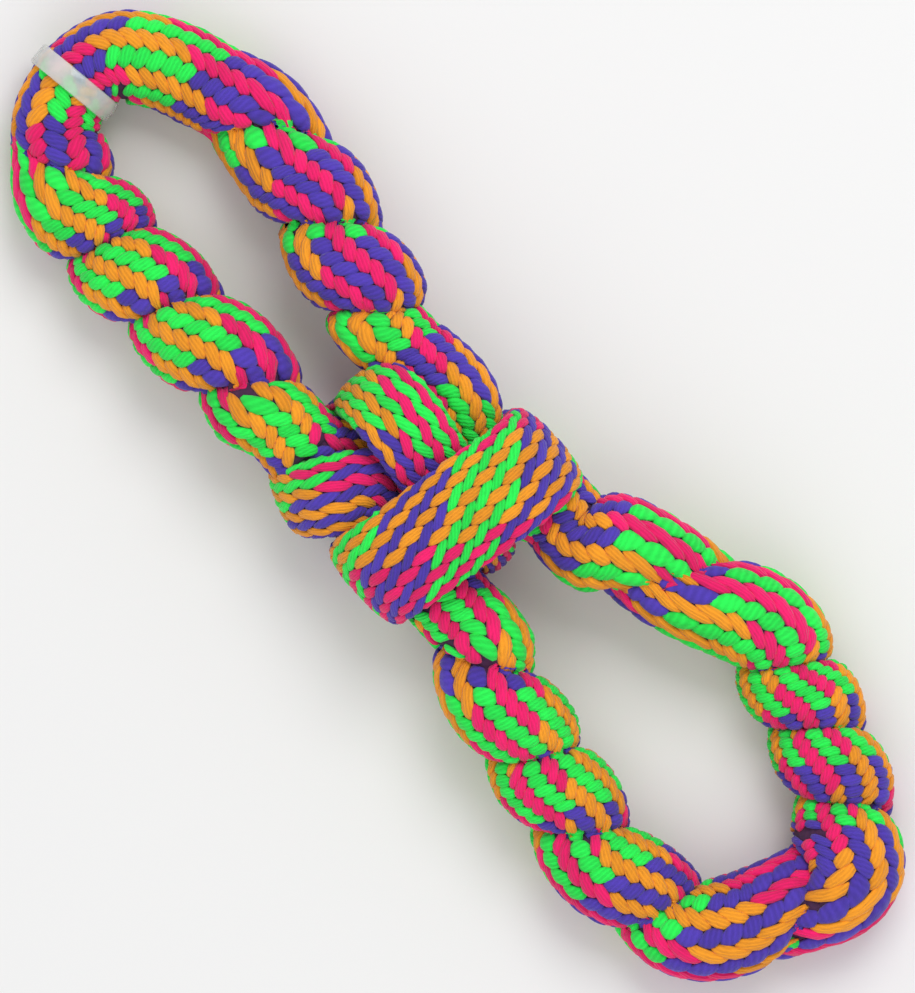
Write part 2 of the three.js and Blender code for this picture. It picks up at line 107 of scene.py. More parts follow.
STRAIGHT_ROUTE_SHARES = [
    [-1, 0.587, 0.5, 1, 1, 0, 0, 1],
    [-0.9, 0.587, 0.5, 1, 1, 0, 0, 1],
    [-0.65, 0.61, 0.51, 1.08, 0.98, 0, 0, 1],
    [-0.3, 0.63, 0.52, 1.04, 0.86, 0, 0, 1],
    [0.05, 0.51, 0.48, 0.78, 0.72, 0, 0, 1],
    [0.42, 0.43, 0.45, 0.74, 0.68, 0, 0, 1],
    [0.68, 0.48, 0.47, 0.82, 0.78, 0, 0, 1],
    [0.9, 0.644, 0.5, 1, 1, 0, 0, 1],
    [1, 0.644, 0.5, 1, 1, 0, 0, 1],
]
WOUND_ROUTE_SHARES = [
    [-1, -0.519, 0.5, 1, 1, 0, 0, -1],
    [-0.9, -0.519, 0.5, 1, 1, 0, 0, -1],
    [-0.68, -0.42, 0.48, 0.9, 0.83, 0, 0, -1],
    [-0.42, -0.2, 0.36, 0.88, 0.7, 0, 0, -1],
    [-0.15, 0.03, 0.145, 0.95, 0.64, 0, 0, -1],
    [0.08, 0.24, 0.1, 1.03, 0.62, 0, 0, -1],
    [0.25, 0.5, 0.12, 1.07, 0.54, 0, 0.15, -1],
    [0.37, 0.72, 0.2, 1.13, 0.48, 0, 0.6, -0.8],
    [0.45, 0.875, 0.38, 1.16, 0.42, 0, 0.97, -0.25],
    [0.48, 0.885, 0.6, 1.2, 0.42, 0, 0.97, 0.25],
    [0.49, 0.76, 0.8, 1.25, 0.43, 0, 0.7, 0.7],
    [0.47, 0.415, 0.885, 1.28, 0.45, 0, 0.15, 1],
    [0.42, 0, 0.895, 1.28, 0.45, 0, 0, 1],
    [0.38, -0.415, 0.88, 1.28, 0.45, 0, -0.2, 1],
    [0.335, -0.71, 0.79, 1.28, 0.45, 0, -0.7, 0.7],
    [0.32, -0.83, 0.59, 1.26, 0.45, 0, -1, 0.15],
    [0.325, -0.82, 0.36, 1.24, 0.45, 0, -1, -0.2],
    [0.35, -0.66, 0.17, 1.17, 0.48, 0, -0.6, -0.8],
    [0.4, -0.36, 0.11, 1.08, 0.48, 0, -0.1, -1],
    [0.58, -0.05, 0.12, 0.85, 0.45, 0.35, 0, -0.9],
    [0.79, 0.03, 0.26, 0.62, 0.41, 0.9, 0, -0.4],
    [0.83, 0.05, 0.46, 0.55, 0.38, 1, 0, 0.1],
    [0.69, 0.09, 0.61, 0.62, 0.38, 0.6, 0, 0.8],
    [0.42, 0.1, 0.665, 0.72, 0.38, 0.1, 0, 1],
    [0.15, 0.11, 0.68, 0.87, 0.4, 0, 0, 1],
    [-0.14, 0.16, 0.76, 0.99, 0.45, 0, 0, 1],
    [-0.44, 0.2, 0.82, 1.01, 0.48, -0.05, 0, 1],
    [-0.71, 0.2, 0.75, 0.98, 0.48, -0.5, 0, 0.85],
    [-0.84, 0.13, 0.58, 0.8, 0.48, -1, 0, 0.15],
    [-0.82, 0.03, 0.33, 0.66, 0.48, -0.9, 0, -0.4],
    [-0.77, -0.22, 0.12, 0.68, 0.47, -0.3, 0, -1],
    [-0.75, -0.55, 0.12, 0.75, 0.46, -0.2, -0.2, -1],
    [-0.66, -0.81, 0.31, 0.81, 0.45, -0.35, -0.9, -0.3],
    [-0.55, -0.83, 0.55, 0.92, 0.45, -0.3, -0.9, 0.35],
    [-0.41, -0.63, 0.72, 0.97, 0.44, -0.1, -0.45, 0.9],
    [-0.25, -0.36, 0.66, 0.97, 0.4, 0, 0, 1],
    [-0.01, -0.24, 0.52, 0.88, 0.38, 0, 0, 1],
    [0.33, -0.3, 0.5, 0.79, 0.5, 0, 0, 1],
    [0.65, -0.4, 0.51, 0.81, 0.7, 0, 0, 1],
    [0.9, -0.472, 0.5, 1, 1, 0, 0, 1],
    [1, -0.472, 0.5, 1, 1, 0, 0, 1],
]
SQUARE_POWER = 0.78  # of the sine and cosine, on a band pressed flat

# The braid: 16 columns of yarn stand round the rope and lean left and right in turn. Each way carries
# two colours, six yarns of one and then six of the other.
COLUMNS = 16
YARNS_PER_WAY = 12
PICKS_PER_COLOUR = 6
SMOOTH_PICK = 4.3 * MM  # spacing of the picks along the rope, where it is smooth
SHORT_LOOP_PICKS = 12  # in one turn of the bunched sleeve, so that the colours come round again
LONG_LOOP_PICKS = 13.8  # more than a full round, so that the colours drift
KNOT_PICK = 7.4 * MM  # and where the knot pulls it flat
YARN_RISE = 1.35 * MM  # of a yarn's top over the level that it stands on
YARN_SINK = 1.1 * MM  # of its underside below that level
PICK_RING_PLACES = [-0.97, -0.84, -0.5, 0.0, 0.5, 0.84, 0.97]
PICK_RING_ANGLES = [0, 24, 55, 90, 125, 156, 180, 240, 300]
PICK_OVERLAP = 1.12  # a pick's length over its column's width
PICK_HALF_WIDTH = 0.58  # of the spacing of the picks
ROUND_LEAN = 0.66  # of a pick's width that lies along the rope, where the rope is round
BAND_LEAN = 0.45  # and where it is a flat band
BAND_RISE = 0.8  # of the yarns' rise elsewhere
LONGEST_PICK = 3.5  # over the usual length, beyond which a pick is torn by a sharp bend
LOOP_LEAD = 9 * MM  # how far a loop's yarns run on into the knot
BEND_SMOOTHING = 7 * MM  # over which the sharp bends in the knot are rounded
FERRULE_PHASE = 6  # the yarns that the two rope ends are apart where they meet
EVEN_SHARE = 0.65  # how evenly the columns lie across the outward face of a flat band
TOP_WIDENING = 0.12  # how much wider the columns are on top of the smooth crown
KNOT_SMOOTHING = 18 * MM  # over which the folds of the yarn die away towards the knot
FERRULE_SMOOTHING = 36 * MM  # and towards the ferrule
HUMP_SHARE = 0.6  # of a turn, that is opened out on the humps; the rest is folded away in the crease
FOLD_OVERLAP = 1.17  # how far two humps close over the crease between them
SMALLEST_SPACING = 0.3  # of the mean, below which a pick is swallowed by a crease
DRIFT = 1.3  # how far the columns wander from side to side, over the winding sleeve's own swing
DRIFT_LAG = 0.65  # of that wandering behind the winding, in radians
CREASE_DEPTH = 2.6 * MM
CREASE_HALF_WIDTH = 0.34  # radians
CREASE_LIMIT = 1.2  # of the usual swing, from which a crease gets no deeper
CORKSCREW_STATIONS = 41
WINDING_EASING = 0.0045  # metres over which the winding changes its pace
WINDING_OVERRUN = 0.02  # metres for which the winding is known past the loop's ends
END_FOLDS = 4  # half turns of even winding added past each end
LENGTH_JITTER = 0.04
WIDTH_JITTER = 0.05
RISE_JITTER = 0.12

# What lies under and in the picks.
BACKING_STEP = 2.6 * MM
BACKING_DEPTH = 0.5 * MM  # of the sleeve's body below the level that the picks stand on
BACKING_FLOOR = 1.1 * MM  # lowest height of the body, which keeps it above the pressed picks
WIDEST_BORE_SHARE = 0.45  # of the way from a band's middle to its skin
CORE_STEP = 4 * MM
PRESSED_FLOOR = 0.2 * MM  # lowest height of a pick pressed on the floor
PRESSED_SPREAD = 0.4 * MM  # over which their heights differ, so that no two lie in one plane
PRESSED_STEP_SHARE = 0.618
SHADE_MIDDLE = 0.4
SHADE_SPREAD = 0.2
BACKING_SHADE = 0.3
TEXTURE_HALF_LENGTH = 0.0045  # metres of texture on a pick
TEXTURE_HALF_WIDTH = 0.0017
TEXTURE_SHIFTS = [(0.013, 0.71), (0.017, 0.53)]  # from pick to pick, and where it starts again

# Picks of one pass that lie inside another are left out.
INSIDE_STATIONS = 90
INSIDE_MARGIN = 1.0 * MM
INSIDE_POWER = 2.5
HIDDEN_SHARE = 0.85  # of a pick's points

BLEND_SHARE = 0.95  # of a soft stretch, over which it would go from one body to the next; listed with the stretch, not blended here

# The ferrule's section: along its length, and out over its wall.
FERRULE_PROFILE_SHARES = [
    (-0.5, 0.1), (-0.47, 0.7), (-0.4, 1), (0, 1.1), (0.4, 1), (0.47, 0.7), (0.5, 0.1), (0.4, 0), (-0.4, 0),
]

YARN_COLOURS = {
    "purple": (0.078, 0.043, 0.42),
    "green": (0.02, 0.84, 0.085),
    "orange": (1.0, 0.32, 0.017),
    "pink": (1.0, 0.011, 0.15),
}
YARN_ORDER = ["purple", "green", "orange", "pink"]


def smoothstep(x, low, high):
    t = np.clip((x - low) / (high - low), 0, 1)
    return t * t * (3 - 2 * t)


def between(share, rise, fall):
    return smoothstep(share, *rise) - smoothstep(share, *fall)


class Curve:
    """A centripetal Catmull-Rom curve through given points."""

    def __init__(self, points):
        points = np.array(points, float)
        first = 2 * points[0] - points[1]
        last = 2 * points[-1] - points[-2]
        self.padded = np.vstack([first, points, last])
        self.spans = len(points) - 1

    def at(self, place):
        place = np.clip(place, 0, self.spans)
        span = np.clip(np.floor(place).astype(int), 0, self.spans - 1)
        t = (place - span)[..., None]
        p0, p1, p2, p3 = (self.padded[span + k] for k in range(4))
        d0, d1, d2 = (np.sqrt(np.linalg.norm(b - a, axis=-1, keepdims=True))
                      for a, b in ((p0, p1), (p1, p2), (p2, p3)))
        d1 = np.where(d1 < 1e-6, MM ** 0.5, d1)
        d0 = np.where(d0 < 1e-6, d1, d0)
        d2 = np.where(d2 < 1e-6, d1, d2)
        m1 = ((p1 - p0) / d0 - (p2 - p0) / (d0 + d1) + (p2 - p1) / d1) * d1
        m2 = ((p2 - p1) / d1 - (p3 - p1) / (d1 + d2) + (p3 - p2) / d2) * d1
        return (p1 + m1 * t + (3 * (p2 - p1) - 2 * m1 - m2) * t * t
                + (2 * (p1 - p2) + m1 + m2) * t * t * t)


def travelled(points):
    """The distance gone along a row of points, at each of them."""
    return np.concatenate([[0], np.cumsum(np.linalg.norm(np.diff(points, axis=0), axis=1))])


def eased(values, kernel):
    """The values smoothed, with both ends kept."""
    padded = np.pad(values, len(kernel) // 2, mode="reflect", reflect_type="odd")
    return np.convolve(padded, kernel / kernel.sum(), mode="valid")


def extended(x, known, values):
    """Like numpy's interp, but straight on past both ends."""
    first = (values[1] - values[0]) / (known[1] - known[0])
    last = (values[-1] - values[-2]) / (known[-1] - known[-2])
    return (np.interp(x, known, values) + np.minimum(x - known[0], 0) * first
            + np.maximum(x - known[-1], 0) * last)


def unit(vectors):
    return vectors / np.linalg.norm(vectors, axis=-1, keepdims=True)


def corkscrew_radius(angle, radius, swing):
    """The reach of a ball of that radius which runs along a helix, in the direction at angle to it."""
    widest = np.zeros(np.broadcast(angle, radius, swing).shape)
    for turn in np.linspace(-math.pi, math.pi, CORKSCREW_STATIONS):
        along = CORKSCREW_PITCH * turn / TURN
        aside = swing * np.sin(angle - turn)
        square = radius * radius - along * along - aside * aside
        reach = swing * np.cos(angle - turn) + np.sqrt(np.maximum(square, 0))
        widest = np.where(square > 0, np.maximum(widest, reach), widest)
    return widest


class Loop:
    """One loop of the rope, from the knot's edge round to the knot's edge, by distance along it."""

    SAMPLES = 2001

    def __init__(self, shares, reach, width, side, bunching, fold_shares, picks, ferrule_share=None):
        points = []
        for along, across in shares:
            fallen = float(smoothstep(along, LEAD_SHARE, FALL_SHARE))
            height = EXIT_HEIGHT + (CROWN_HEIGHT - EXIT_HEIGHT) * fallen
            points.append([side * (KNOT_LENGTH / 2 + along * reach), across * width, height])
        curve = Curve(points)
        self.places = curve.at(np.linspace(0, curve.spans, self.SAMPLES))
        self.distances = travelled(self.places)
        self.length = self.distances[-1]
        self.tangents = unit(np.gradient(self.places, self.distances, axis=0))
        self.bunching = bunching
        self.picks = picks
        folds = np.array(fold_shares) * self.length
        half = CORKSCREW_PITCH / 2
        count = len(folds)
        overrun = half * END_FOLDS
        knots = np.concatenate([[folds[0] - overrun], folds, [folds[-1] + overrun]])
        turns = np.concatenate([[1 - END_FOLDS], np.arange(1, count + 1), [count + END_FOLDS]])
        angles = math.pi * turns
        grid = np.linspace(-WINDING_OVERRUN, self.length + WINDING_OVERRUN, self.SAMPLES)
        raw = np.interp(grid, knots, angles)
        kernel = np.hanning(2 * int(WINDING_EASING / (grid[1] - grid[0])) + 1)
        self.winding_grid = grid
        self.windings = eased(raw, kernel)
        self.winding_rates = np.gradient(self.windings, grid)
        self.ferrule_at = ferrule_share * self.length if ferrule_share else None

    def route(self, distance):
        d = np.clip(distance, 0, self.length)
        point = np.stack([np.interp(d, self.distances, self.places[:, k]) for k in range(3)], -1)
        tangent = unit(np.stack([np.interp(d, self.distances, self.tangents[:, k]) for k in range(3)], -1))
        point = point + tangent * (distance - d)[..., None]
        across = unit(np.cross(tangent, [0, 0, 1]))
        return point, tangent, across, np.cross(across, tangent)

    def winding(self, distance):
        return np.interp(distance, self.winding_grid, self.windings)

    def winding_rate(self, distance):
        return np.interp(distance, self.winding_grid, self.winding_rates)

    def squeeze(self, distance):
        to_knot = np.minimum(distance, self.length - distance)
        held = 1 - smoothstep(to_knot, 0, SLEEVE_RADIUS)
        if self.ferrule_at is None:
            return held
        to_ferrule = np.abs(distance - self.ferrule_at) - FERRULE_LENGTH / 2
        return np.maximum(held, 1 - smoothstep(to_ferrule, 0, SLEEVE_RADIUS))

    def swing(self, distance):
        return CORKSCREW_SWING * self.bunching(distance / self.length) * (1 - self.squeeze(distance))

    def radius(self, distance):
        return SLEEVE_RADIUS - SLEEVE_SQUEEZE * self.squeeze(distance)

    def skin(self, distance, angle, lift):
        """Points of the wound sleeve's skin, by distance along the rope and angle round it."""
        swing = self.swing(distance)
        turned = angle - self.winding(distance)
        reach = corkscrew_radius(turned, self.radius(distance), swing)
        behind = (np.mod(turned, TURN) - math.pi) / CREASE_HALF_WIDTH
        bunched = np.clip(swing / CORKSCREW_SWING, 0, CREASE_LIMIT)
        reach = reach - CREASE_DEPTH * np.exp(-behind ** 2) * bunched
        point, tangent, across, normal = self.route(distance)
        out = across * np.cos(angle)[..., None] + normal * np.sin(angle)[..., None]
        return point + out * (reach + lift)[..., None]

    def yarn_skin(self, distance, angle, lift):
        """The same, but distance and angle belong to the yarn, which leans with the winding sleeve."""
        winding = self.winding(distance)
        swing, radius = self.swing(distance), self.radius(distance)
        turned = np.mod(angle - winding + math.pi, TURN) - math.pi
        hump = HUMP_SHARE * math.pi
        widest = FOLD_OVERLAP * math.pi - hump
        opened = np.where(np.abs(turned) < hump, turned * widest / hump,
                          np.sign(turned) * widest * (math.pi - np.abs(turned)) / (math.pi - hump))
        there = extended(winding - self.bunched(distance) * opened, self.windings, self.winding_grid)
        x = radius * np.cos(angle) + DRIFT * swing * np.cos(winding - DRIFT_LAG)
        y = radius * np.sin(angle) + DRIFT * swing * np.sin(winding - DRIFT_LAG)
        return self.skin(there, np.arctan2(y, x), lift)

    def bunched(self, distance):
        to_knot = np.minimum(distance, self.length - distance)
        swing = CORKSCREW_SWING * self.bunching(distance / self.length)
        free = smoothstep(to_knot, 0, KNOT_SMOOTHING)
        if self.ferrule_at is not None:
            free = free * smoothstep(np.abs(distance - self.ferrule_at), 0, FERRULE_SMOOTHING)
        return np.clip(swing / (CORKSCREW_SWING * LONG_SWING_SHARE), 0, 1) * free

    def spacing(self, distance, angle):
        """How far apart the picks lie there, as a share of their mean spacing."""
        turned = np.mod(angle - self.winding(distance) + math.pi, TURN) - math.pi
        inside = np.abs(turned) < HUMP_SHARE * math.pi
        return 1 + self.bunched(distance) * np.where(inside, (1 - HUMP_SHARE) / HUMP_SHARE, -1)

    def pick_length(self, distance):
        bunched_pick = np.minimum(TURN / self.winding_rate(distance) / self.picks, SMOOTH_PICK)
        return SMOOTH_PICK + (bunched_pick - SMOOTH_PICK) * self.bunched(distance)

    def rows(self):
        """Distances of the rows of picks, and how the row number runs with distance."""
        grid = np.linspace(-LOOP_LEAD, self.length + LOOP_LEAD, self.SAMPLES)
        numbers = np.concatenate([[0], np.cumsum(np.diff(grid) / self.pick_length(grid[1:]))])
        return grid, numbers - np.interp(0, grid, numbers)

    def flatness(self, distance):
        return np.zeros(np.shape(distance))

    def column_angle(self, column, distance):
        """The columns are widest on top where the sleeve is smooth."""
        angle = TURN * column / COLUMNS
        return angle - TOP_WIDENING * (1 - self.bunched(distance)) * np.sin(2 * angle)


class Pass:
    """One pass of the rope through the knot, by distance along it."""

    SAMPLES = 801
    ferrule_at = None

    def __init__(self, shares, first, last, front_columns, wandering):
        self.front_columns = front_columns
        rows = np.array(shares, float)
        size = np.array([KNOT_LENGTH / 2, KNOT_WIDTH / 2, KNOT_HEIGHT])
        curve = Curve(rows[:, :3] * size)
        places = np.linspace(first, last, self.SAMPLES)
        gone = travelled(curve.at(places))
        even = np.linspace(0, gone[-1], self.SAMPLES)
        places = np.interp(even, gone, places)
        points = curve.at(places)
        kernel = np.hanning(2 * int(BEND_SMOOTHING / even[1]) + 3)
        points = np.stack([eased(points[:, k], kernel) for k in range(3)], -1)
        self.distances = travelled(points)
        self.length = self.distances[-1]
        self.wander = wandering / self.length
        leads = [LOOP_LEAD * (abs(share) == 1) for share in (rows[first, 0], rows[last, 0])]
        self.woven = [leads[0], self.length - leads[1]]
        tangents = unit(np.gradient(points, self.distances, axis=0))
        faces = Curve(rows[:, 5:]).at(places)
        normals = unit(faces - tangents * np.sum(faces * tangents, axis=-1, keepdims=True))
        sizes = Curve(rows[:, 3:5] * SQUEEZED_RADIUS).at(places)
        self.table = np.concatenate([points, tangents, normals, sizes], -1)

    def frame(self, distance):
        d = np.clip(distance, 0, self.length)
        values = np.stack([np.interp(d, self.distances, column) for column in self.table.T], -1)
        tangent, normal, size = unit(values[..., 3:6]), unit(values[..., 6:9]), values[..., 9:]
        point = values[..., :3] + tangent * (distance - d)[..., None]
        return point, tangent, np.cross(tangent, normal), normal, size

    def skin(self, distance, angle, lift):
        point, tangent, across, normal, size = self.frame(distance)
        flatness = self.flatness(distance)
        power = 1 + (SQUARE_POWER - 1) * flatness
        cosine, sine = np.cos(angle), np.sin(angle)
        x = np.sign(cosine) * np.abs(cosine) ** power * (size[..., 0] + lift)
        y = np.sign(sine) * np.abs(sine) ** power * (size[..., 1] + lift)
        return point + across * x[..., None] + normal * y[..., None]

    yarn_skin = skin

    def spacing(self, distance, angle):
        return np.ones(np.shape(angle))

    def flatness(self, distance):
        size = self.frame(distance)[4]
        return np.clip(size[..., 0] / size[..., 1] - 1, 0, 1)

    def rows(self):
        grid = np.linspace(*self.woven, self.SAMPLES)
        pick = SMOOTH_PICK + (KNOT_PICK - SMOOTH_PICK) * self.flatness(grid)
        return grid, np.concatenate([[0], np.cumsum(np.diff(grid) / pick[1:])])

    def column_angle(self, column, distance):
        """More of the columns lie on the outward face, where the band is pulled flat."""
        flatness = self.flatness(distance)
        column = np.mod(column + self.wander * (distance - self.length / 2), COLUMNS)
        half = COLUMNS / 2
        front = half + (self.front_columns - half) * flatness
        back = COLUMNS - front
        on_back = column >= front
        turned = np.where(on_back, (column - front) / back, column / front)
        even = EVEN_SHARE * flatness
        across = (1 - even) * np.cos(math.pi * turned) + even * (1 - 2 * turned)
        power = 1 + (SQUARE_POWER - 1) * flatness
        angle = np.arccos(np.clip(np.sign(across) * np.abs(across) ** (1 / power), -1, 1))
        return angle + math.pi * on_back


def tube_faces(rings, sides, offset=0):
    faces = []
    for ring in range(rings - 1):
        for j in range(sides):
            k = (j + 1) % sides
            a = offset + ring * sides
            b = a + sides
            faces.append([a + j, a + k, b + k, b + j])
    return faces


def pick_shape():
    """A plump pick with pointed ends: along its length, across it, and its height, ring by ring."""
    rings = []
    angles = np.radians(PICK_RING_ANGLES)
    for place in PICK_RING_PLACES:
        width = (1 - abs(place) ** 3) ** 0.5
        dome = (1 - abs(place) ** 4) ** 0.5
        round_top = np.maximum(np.sin(angles), 0) ** 0.7
        across = np.cos(angles) * width
        up = np.where(np.sin(angles) > -0.01, round_top * YARN_RISE * dome - YARN_SINK * abs(place) ** 5,
                      -YARN_SINK - 0 * angles)
        rings.append(np.stack([np.full(len(angles), place), across, up], -1))
    body = np.concatenate(rings)
    tips = np.array([[-1, 0, -YARN_SINK], [1, 0, -YARN_SINK]])
    sides = len(angles)
    faces = tube_faces(len(rings), sides)
    first, last = len(body), len(body) + 1
    for j in range(sides):
        k = (j + 1) % sides
        faces.append([first, k, j])
        end = (len(rings) - 1) * sides
        faces.append([last, end + j, end + k])
    return np.concatenate([body, tips]), faces


PICK_VERTICES, PICK_FACES = pick_shape()
random = np.random.default_rng(7)


def skin_normal(skin, distance, angle, lift):
    step = 0.0004
    turn = 0.02
    zero = lift * 0
    along = skin(distance + step, angle, zero) - skin(distance - step, angle, zero)
    around = skin(distance, angle + turn, zero) - skin(distance, angle - turn, zero)
    return unit(np.cross(around, along))


def progress(route, distance, angle):
    """How far the skin moves on along the rope for each step along its middle; less inside a bend."""
    step = np.full(distance.shape, 0.5 * MM)
    moved = route.skin(distance + step, angle, 0 * step) - route.skin(distance - step, angle, 0 * step)
    tangent = route.route(distance)[1] if isinstance(route, Loop) else route.frame(distance)[1]
    return np.sum(moved * tangent, axis=-1) / (2 * step)


def braid(route, phases):
    """Every pick along a route: its vertices, its colour, where its middle lies and its shade."""
    grid, numbers = route.rows()
    picks = []
    ferrule_row = np.interp(route.ferrule_at or route.length, grid, numbers)
    for column in range(COLUMNS):
        leans = 1 if column % 2 == 0 else -1
        index = column // 2
        for row in range(math.floor(numbers[0]), math.ceil(numbers[-1])):
            phase = phases[0] if leans == 1 else phases[1]
            phase += FERRULE_PHASE * (row > ferrule_row)
            # From column to column of one way the colours step on by two yarns and by one in turn.
            yarn = (row + phase - leans * (3 * index + 1) // 2) % YARNS_PER_WAY
            second = yarn >= PICKS_PER_COLOUR
            colour = (1 if second else 0) if leans == 1 else (3 if second else 2)
            offset = 0.25 if leans == 1 else 0.75
            picks.append((row + offset, column, leans, colour))
    table = np.array(picks, float)
    table = table[(table[:, 0] > numbers[0]) & (table[:, 0] < numbers[-1])]
    count = len(table)
    jitter = random.uniform(-1, 1, (count, 3))
    along, across, up = PICK_VERTICES.T
    reach = 0.5 * PICK_OVERLAP * (1 + LENGTH_JITTER * jitter[:, :1])
    middle = np.interp(table[:, 0], numbers, grid)
    flat = route.flatness(middle)[:, None]
    lean = ROUND_LEAN + (BAND_LEAN - ROUND_LEAN) * flat
    aside = PICK_HALF_WIDTH * (1 + WIDTH_JITTER * jitter[:, 1:2]) * across
    number = table[:, :1] + table[:, 2:3] * reach * along + lean * aside
    column = table[:, 1:2] + reach * along - table[:, 2:3] * (1 - lean) * aside
    distance = extended(number, numbers, grid)
    angle = route.column_angle(column, distance)
    lift = up * (1 + RISE_JITTER * jitter[:, 2:3]) * (1 - (1 - BAND_RISE) * flat)
    base = np.full(lift.shape, -YARN_RISE)
    points = route.yarn_skin(distance, angle, base)
    normal = skin_normal(route.yarn_skin, distance, angle, base)
    outward = np.sign(np.sum(normal * (points - route_middle(route, distance)), -1, keepdims=True))
    points = points + normal * outward * lift[..., None]
    middle_angle = route.column_angle(table[:, 1], middle)
    seen = route.spacing(middle, middle_angle) > SMALLEST_SPACING
    seen &= progress(route, middle, middle_angle) > SMALLEST_SPACING
    if isinstance(route, Pass):
        for tip in (-1, -2):
            seen &= progress(route, distance[:, tip], angle[:, tip]) > 0.5 * SMALLEST_SPACING
    lengths = np.linalg.norm(points[:, -1] - points[:, -2], axis=-1)
    seen &= lengths < LONGEST_PICK * np.median(lengths)
    return points[seen], table[seen, 3].astype(int), middle[seen], jitter[seen, 0]


def route_middle(route, distance):
    return route.route(distance)[0] if isinstance(route, Loop) else route.frame(distance)[0]


def build_mesh(name, vertices, faces, slots, materials, shade=None, yarn=None):
    mesh = bpy.data.meshes.new(name)
    mesh.from_pydata(vertices.tolist(), [], faces)
    for material in materials:
        mesh.materials.append(material)
    mesh.polygons.foreach_set("material_index", slots)
    mesh.polygons.foreach_set("use_smooth", [True] * len(faces))
    if shade is not None:
        mesh.attributes.new("shade", "FLOAT", "POINT").data.foreach_set("value", shade)
    if yarn is not None:
        corners = np.empty(len(mesh.loops), int)
        mesh.loops.foreach_get("vertex_index", corners)
        layer = mesh.uv_layers.new(name="yarn")
        layer.data.foreach_set("uv", yarn[corners].ravel())
    mesh.update()
    piece = bpy.data.objects.new(name, mesh)
    bpy.context.collection.objects.link(piece)
    return piece


def backing(route, start, end, sides=24):
    """The sleeve's own body under the picks, with its bore: a closed ring-shaped tube."""
    count = max(4, int((end - start) / BACKING_STEP))
    distance = np.repeat(np.linspace(start, end, count)[:, None], sides, 1)
    angle = np.repeat(np.linspace(0, TURN, sides, endpoint=False)[None, :], count, 0)
    outer = route.skin(distance, angle, np.full(angle.shape, -YARN_RISE - BACKING_DEPTH))
    middle = route_middle(route, distance)
    inner = middle + unit(outer - middle) * BORE_RADIUS
    if isinstance(route, Pass):
        thin = np.linalg.norm(outer - middle, axis=-1, keepdims=True)
        inner = middle + (outer - middle) * np.minimum(WIDEST_BORE_SHARE, BORE_RADIUS / thin)
    outer, inner = outer.reshape(-1, 3), inner.reshape(-1, 3)
    total = count * sides
    faces = tube_faces(count, sides)
    faces += [face[::-1] for face in tube_faces(count, sides, total)]
    for j in range(sides):
        k = (j + 1) % sides
        faces.append([j, total + j, total + k, k])
        last = (count - 1) * sides
        faces.append([last + j, last + k, total + last + k, total + last + j])
    return np.concatenate([outer, inner]), faces


# Materials.

def new_material(name):
    material = bpy.data.materials.new(name)
    material.use_nodes = True
    nodes, links = material.node_tree.nodes, material.node_tree.links
    return material, nodes, links, nodes["Principled BSDF"]


def add_bump(material, height, strength, distance, under=None):
    """A bump from a texture's output, laid over the bump under it."""
    nodes, links = material.node_tree.nodes, material.node_tree.links
    bump = nodes.new("ShaderNodeBump")
    bump.inputs["Strength"].default_value = strength
    bump.inputs["Distance"].default_value = distance
    links.new(height, bump.inputs["Height"])
    if under is not None:
        links.new(under, bump.inputs["Normal"])
    return bump.outputs["Normal"]


